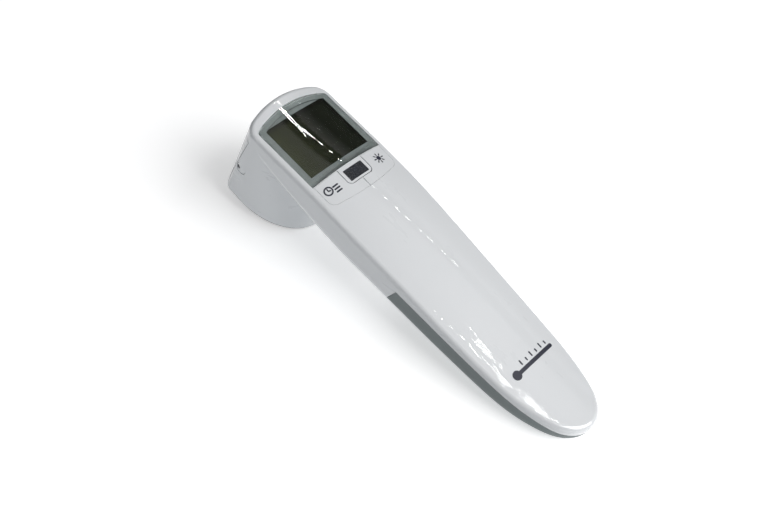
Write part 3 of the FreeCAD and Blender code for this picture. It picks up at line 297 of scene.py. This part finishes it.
def card_look(name, levels, tint=(1.0, 1.0, 1.0)):
    """Glowing card; its strength changes from -X-Y to +X+Y, and levels are (metres, radiance)."""
    look = Look(name, Base_Color=(0, 0, 0, 1), Specular_IOR_Level=0.0, Emission_Color=(*tint, 1.0))
    x, y, _ = look.add("SeparateXYZ", Vector=look.place).outputs
    along = look.add("Math", operation="ADD")
    look.links.new(x, along.inputs[0])
    look.links.new(y, along.inputs[1])
    first = levels[0][0] * math.sqrt(2)
    last = levels[-1][0] * math.sqrt(2)
    share = look.span(along.outputs["Value"], 0.0, 1.0, first, last)
    ramp = look.add("ValToRGB", Fac=share)
    while len(ramp.color_ramp.elements) < len(levels):
        ramp.color_ramp.elements.new(1.0)
    for stop, (place, level) in zip(ramp.color_ramp.elements, levels):
        stop.position = (place * math.sqrt(2) - first) / (last - first)
        stop.color = (level, level, level, 1.0)
    look.links.new(ramp.outputs["Color"], look.shader.inputs["Emission Strength"])
    return look.mat


# ---------------------------------------------------------------- materials of the CAD nodes

WHITE = (0.80, 0.815, 0.83)
GREY = (0.200, 0.232, 0.234)
MASK_GREY = (0.135, 0.150, 0.150)
INK = (0.030, 0.032, 0.050)
FLOOR_GLOW = 0.50
BOUNCE_GLOW = 0.74

white = gloss_white("gloss_white", WHITE)
grey = moulded("satin_grey", GREY, 0.48)
black = moulded("black_frame", (0.02, 0.02, 0.022), 0.5)
milky = moulded("milky_acrylic", (0.75, 0.78, 0.74), 0.35, depth=0.1)
resin = moulded("chip_resin", (0.016, 0.016, 0.018), 0.55, grain_size=0.0002)
nickel = metal("nickel", (0.72, 0.71, 0.67), 0.3)
steel = metal("zinc_steel", (0.50, 0.50, 0.50), 0.34)

LOOKS = {
    "white_shell": white,
    "grey_cover": grey,
    "grey_button": moulded("grained_button", (0.10, 0.125, 0.13), 0.6, grain_size=0.0006, depth=0.6),
    "clear_window": window_clear("clear_window"),
    # The mask's cut edges get painted shade, darkened to 0.12 of its grey.
    "mask_print": printed("mask_print", MASK_GREY, 0.5, 0.12),
    "lcd_glass": display_glass("display_glass"),
    "smoke_lens": smoked_lens("smoke_lens", (0.020, 0.023, 0.030)),
    "milky_acrylic": milky,
    "led_resin": moulded("led_resin", (0.75, 0.66, 0.30), 0.25, depth=0.1),
    "black_frame": black,
    "nose_trim": moulded("nose_trim", (0.030, 0.033, 0.036), 0.52, grain_size=0.0005),
    "contact_rubber": moulded("contact_rubber", (0.04, 0.04, 0.045), 0.7),
    "circuit_board": board("circuit_board"),
    "chip_resin": resin,
    "switch_stem": moulded("switch_stem", (0.50, 0.05, 0.03), 0.4),
    "tinned_can": metal("tinned_can", (0.66, 0.66, 0.63), 0.26),
    "gold_pins": metal("gold_pins", (0.85, 0.62, 0.25), 0.25),
    "sensor_film": smoked_lens("sensor_film", (0.010, 0.011, 0.014)),
    "sensor_filter_glass": smoked_lens("sensor_filter", (0.02, 0.02, 0.035)),
    "cup_metal": metal("cup_metal", (0.82, 0.78, 0.70), 0.14),
    "ribbon_film": moulded("ribbon_film", (0.35, 0.14, 0.02), 0.3, depth=0.1),
    "cell_jacket": cell_jacket("cell_jacket"),
    "contact_metal": nickel,
    "lead_sheath": moulded("lead_sheath", (0.42, 0.02, 0.015), 0.4),
    "screw_steel": steel,
}

for subpart in frame["record"]["subparts"]:
    for node_slot in frame["nodes"][subpart["node"]].material_slots:
        node_slot.material = LOOKS[subpart["material_slot"]]


# ---------------------------------------------------------------- printed marks

PRINT_LIFT = 0.015
PRINT_DEPTH = 0.02
PRINT_STEP = 0.35
MERGE_DISTANCE = 0.00002
SHORTEST_EDGE = 0.00001
PROBE_HEIGHT = 0.02
CLOCK_RIM = 0.55
HAND_WIDTH = 0.5
LIST_WIDTH = 0.62
RAYS = 8
RAY_WIDTH = 0.46
BULB_R = 1.7
TUBE_WIDTH = 1.4
TICKS = 6
FIRST_TICK = 4.2
TICK_PITCH = 2.6
TICK_FOOT = 1.6
TICK_HEIGHTS = (3.0, 2.4)
TICK_WIDTH = 0.6


def surface_of(node):
    """Ray-casting tree of a CAD node, in the display frame."""
    source = frame["nodes"][node]
    mesh = bmesh.new()
    mesh.from_mesh(source.data)
    mesh.transform(DISPLAY.inverted() @ source.matrix_world)
    tree = BVHTree.FromBMesh(mesh)
    mesh.free()
    return tree


def ring(x, y, outer, inner, start=0.0, end=360.0, steps=40):
    """Quads of a ring or of part of one, about x, y."""
    angles = [math.radians(start + (end - start) * i / steps) for i in range(steps + 1)]
    rows = [[(x + r * math.cos(a), y + r * math.sin(a)) for r in (inner, outer)] for a in angles]
    return [(low[0], low[1], high[1], high[0]) for low, high in zip(rows, rows[1:])]


def bar(start, end, width):
    """A straight stroke with square ends, as quads no longer than PRINT_STEP."""
    a, b = Vector(start), Vector(end)
    along = b - a
    side = Vector((-along.y, along.x)).normalized() * width / 2
    count = max(1, math.ceil(along.length / PRINT_STEP))
    spots = [a + along * i / count for i in range(count + 1)]
    return [tuple(map(tuple, (p - side, q - side, q + side, p + side))) for p, q in zip(spots, spots[1:])]


def stroke(start, end, width):
    """A straight stroke with round ends."""
    heading = math.degrees(math.atan2(end[1] - start[1], end[0] - start[0]))
    caps = ring(*end, width / 2, 0.0, heading - 90, heading + 90, 8)
    caps += ring(*start, width / 2, 0.0, heading + 90, heading + 270, 8)
    return bar(start, end, width) + caps


def print_mark(name, quads, node, body):
    """Lays flat quads, drawn in display millimetres, on a CAD node as a thin layer of ink."""
    tree = surface_of(node)
    mesh = bmesh.new()
    for quad in quads:
        corners = []
        for x, y in quad:
            hit = tree.ray_cast(Vector((x * MM, y * MM, PROBE_HEIGHT)), Vector((0, 0, -1)))[0]
            corners.append(mesh.verts.new(hit + Vector((0, 0, PRINT_LIFT * MM))))
        mesh.faces.new(corners)
    bmesh.ops.remove_doubles(mesh, verts=mesh.verts, dist=MERGE_DISTANCE)
    bmesh.ops.dissolve_degenerate(mesh, edges=mesh.edges, dist=SHORTEST_EDGE)
    mesh.transform(DISPLAY)
    data = bpy.data.meshes.new(name)
    mesh.to_mesh(data)
    mesh.free()
    piece = bpy.data.objects.new(name, data)
    bpy.context.collection.objects.link(piece)
    data.materials.append(INK_LOOK)
    thicken = piece.modifiers.new("ink", "SOLIDIFY")
    thicken.thickness = PRINT_DEPTH * MM
    thicken.offset = 1.0
    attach(piece, body)


INK_LOOK = printed("ink", INK)


def clock_mark(x, y, size):
    """Clock face: ring, two hands."""
    quads = ring(x, y, size, size - CLOCK_RIM)
    quads += stroke((x, y), (x, y + size * 0.5), HAND_WIDTH)
    quads += stroke((x, y), (x + size * 0.4, y - size * 0.1), HAND_WIDTH)
    return quads


def list_mark(x, y, width, gap):
    """Three stacked strokes, for stored readings."""
    quads = []
    for row in (-1, 0, 1):
        level = y + row * gap
        quads += stroke((x - width / 2, level), (x + width / 2, level), LIST_WIDTH)
    return quads


def lamp_mark(x, y, size):
    """Small sun: disc and rays."""
    quads = ring(x, y, size * 0.46, 0.0)
    for i in range(RAYS):
        a = math.radians(360 / RAYS * i)
        inner = (x + size * 0.66 * math.cos(a), y + size * 0.66 * math.sin(a))
        quads += stroke(inner, (x + size * math.cos(a), y + size * math.sin(a)), RAY_WIDTH)
    return quads


def gauge_mark(x, y, half_length):
    """Lying thermometer: bulb, tube and scale ticks."""
    bulb = x - half_length + BULB_R
    quads = ring(bulb, y, BULB_R, 0.0)
    quads += stroke((bulb + 1.2, y), (x + half_length, y), TUBE_WIDTH)
    for i in range(TICKS):
        tick = bulb + FIRST_TICK + TICK_PITCH * i
        quads += stroke((tick, y + TICK_FOOT), (tick, y + TICK_HEIGHTS[i % 2]), TICK_WIDTH)
    return quads


mode_quads = clock_mark(-13.2, -19.2, 1.75) + list_mark(-10.0, -20.1, 1.9, 1.15)
print_mark("mode_key_mark", mode_quads, "mode_key", "mode_key")
print_mark("light_key_mark", lamp_mark(11.3, -19.4, 2.0), "light_key", "light_key")
print_mark("handle_mark", gauge_mark(0.4, -106.5, 10.0), "front_housing", "root")


# ---------------------------------------------------------------- stage, camera and light

STAGE_SIZE = 8.0
BOUNCE_PLACE = (0.0, 0.0, -0.001)
CEILING_SIZE = 9.0
CEILING_PLACE = (1.0, 0.0, 1.6)

bpy.ops.mesh.primitive_plane_add(size=STAGE_SIZE, location=(0.0, 0.0, 0.0))
floor = bpy.context.object
floor.name = "floor"
floor.data.materials.append(floor_look("floor"))
floor.visible_diffuse = False


def glow_plane(name, size, place, mat):
    """Stage plane that only lights or mirrors in the object; its texture space is that of the row."""
    x, y, z = place
    turns = ((-0.5, -0.5), (0.5, -0.5), (0.5, 0.5), (-0.5, 0.5))
    corners = [(x + size * a, y + size * b, z) for a, b in turns]
    data = bpy.data.meshes.new(name)
    data.from_pydata(corners, [], [(0, 1, 2, 3)])
    data.materials.append(mat)
    plane = bpy.data.objects.new(name, data)
    bpy.context.collection.objects.link(plane)
    plane.visible_camera = False
    plane.visible_shadow = False
    return plane


# What the floor throws back on to the object, set apart from how bright the floor itself looks.
BOUNCE = card_look("bounce", ((-1.0, BOUNCE_GLOW), (1.0, BOUNCE_GLOW)), (0.93, 0.97, 1.0))
bounce = glow_plane("bounce", STAGE_SIZE, BOUNCE_PLACE, BOUNCE)
bounce.visible_glossy = False
bounce.visible_transmission = False
# Pale ceiling that mirrors in crown, window and display: bright to the left, dark behind the lamps and to
# the right.
CEILING = (
    (-1.5, 0.14), (-0.3, 0.62), (0.64, 0.62), (0.70, 0.06),
    (0.96, 0.06), (1.0, 0.50), (1.40, 0.03), (3.2, 0.03),
)
ceiling = glow_plane("ceiling", CEILING_SIZE, CEILING_PLACE, card_look("ceiling", CEILING))
ceiling.visible_diffuse = False

TARGET = Vector((-0.0143, 0.0030, 0.03025))
AZIMUTH = math.radians(-55.15)
ELEVATION = math.radians(49.46)
ROLL = math.radians(10.61)
DISTANCE = 0.3407
FOCAL_LENGTH = 48.12
SENSOR_WIDTH = 36.0

back = Vector((
    math.cos(ELEVATION) * math.sin(AZIMUTH),
    -math.cos(ELEVATION) * math.cos(AZIMUTH),
    math.sin(ELEVATION),
))
turn = back.to_track_quat("Z", "Y").to_matrix().to_4x4()
camera_data = bpy.data.cameras.new("camera")
camera_data.lens = FOCAL_LENGTH
camera_data.sensor_width = SENSOR_WIDTH
camera_data.clip_start = 0.01
camera = bpy.data.objects.new("camera", camera_data)
camera.matrix_world = Matrix.Translation(TARGET + back * DISTANCE) @ turn @ Matrix.Rotation(ROLL, 4, "Z")
bpy.context.collection.objects.link(camera)
bpy.context.scene.camera = camera


def soft_box(name, place, aim, size, watts):
    data = bpy.data.lights.new(name, "AREA")
    data.shape = "RECTANGLE"
    data.size, data.size_y = size
    data.energy = watts
    lamp = bpy.data.objects.new(name, data)
    lamp.location = place
    lamp.rotation_euler = (Vector(place) - Vector(aim)).to_track_quat("Z", "Y").to_euler()
    bpy.context.collection.objects.link(lamp)


LAMP_HEIGHT = 1.0
LAMP_TINT = (1.0, 1.0, 0.97, 1.0)


def lamp_string(name, route, count, size, strength):
    """Small lamps spread evenly along a bent route, seen only as a dashed highlight in glossy surfaces."""
    points = [Vector((x, y, LAMP_HEIGHT)) for x, y in route]
    legs = [(b - a).length for a, b in zip(points, points[1:])]
    mesh = bmesh.new()
    for i in range(count):
        left = sum(legs) * i / (count - 1)
        leg = 0
        while leg < len(legs) - 1 and left > legs[leg]:
            left -= legs[leg]
            leg += 1
        along = (points[leg + 1] - points[leg]).normalized()
        across = Vector((-along.y, along.x, 0.0))
        middle = points[leg] + along * left
        turns = ((-1, -1), (-1, 1), (1, 1), (1, -1))
        corners = [middle + along * size[0] * a + across * size[1] * b for a, b in turns]
        mesh.faces.new([mesh.verts.new(corner) for corner in corners])
    data = bpy.data.meshes.new(name)
    mesh.to_mesh(data)
    mesh.free()
    lamps = bpy.data.objects.new(name, data)
    bpy.context.collection.objects.link(lamps)
    look = Look(name, Base_Color=(0, 0, 0, 1), Emission_Color=LAMP_TINT, Emission_Strength=strength)
    data.materials.append(look.mat)
    lamps.visible_camera = False
    lamps.visible_diffuse = False


KEY_PLACE = (0.25, -1.1, 1.1)
KEY_SIZE = (1.3, 1.1)
KEY_WATTS = 24.5

soft_box("key_light", KEY_PLACE, (0, 0, 0), KEY_SIZE, KEY_WATTS)

# Routes of the lamp strings in metres, LAMP_HEIGHT above the floor, where they mirror in the window, along
# the crown, along the left edge and at the tip.
WINDOW_ROUTE = ((0.453, 0.267), (0.497, 0.274), (0.538, 0.256), (0.570, 0.199))
CROWN_ROUTE = ((0.672, 0.065), (0.720, -0.019), (0.785, -0.092), (0.895, -0.195))
EDGE_ROUTE = (
    (0.100, -0.259), (0.128, -0.292), (0.146, -0.311), (0.173, -0.319), (0.201, -0.316), (0.208, -0.306),
)
TIP_ROUTE = ((0.208, -0.306), (0.243, -0.308), (0.294, -0.305), (0.297, -0.296))
lamp_string("window_lamps", WINDOW_ROUTE, 6, (0.0060, 0.006), 60.0)
lamp_string("crown_lamps", CROWN_ROUTE, 8, (0.008, 0.006), 22.0)
lamp_string("edge_lamps", EDGE_ROUTE, 10, (0.002, 0.003), 30.0)
lamp_string("tip_lamps", TIP_ROUTE, 7, (0.003, 0.003), 25.0)

SKY_TINT = (0.93, 0.96, 1.0, 1.0)
SKY_GLOW = 0.14

world = bpy.data.worlds.new("studio")
world.use_nodes = True
backdrop = world.node_tree.nodes["Background"]
backdrop.inputs["Color"].default_value = SKY_TINT
backdrop.inputs["Strength"].default_value = SKY_GLOW
bpy.context.scene.world = world
bpy.context.scene.view_settings.view_transform = "Standard"

bpy.context.view_layer.update()
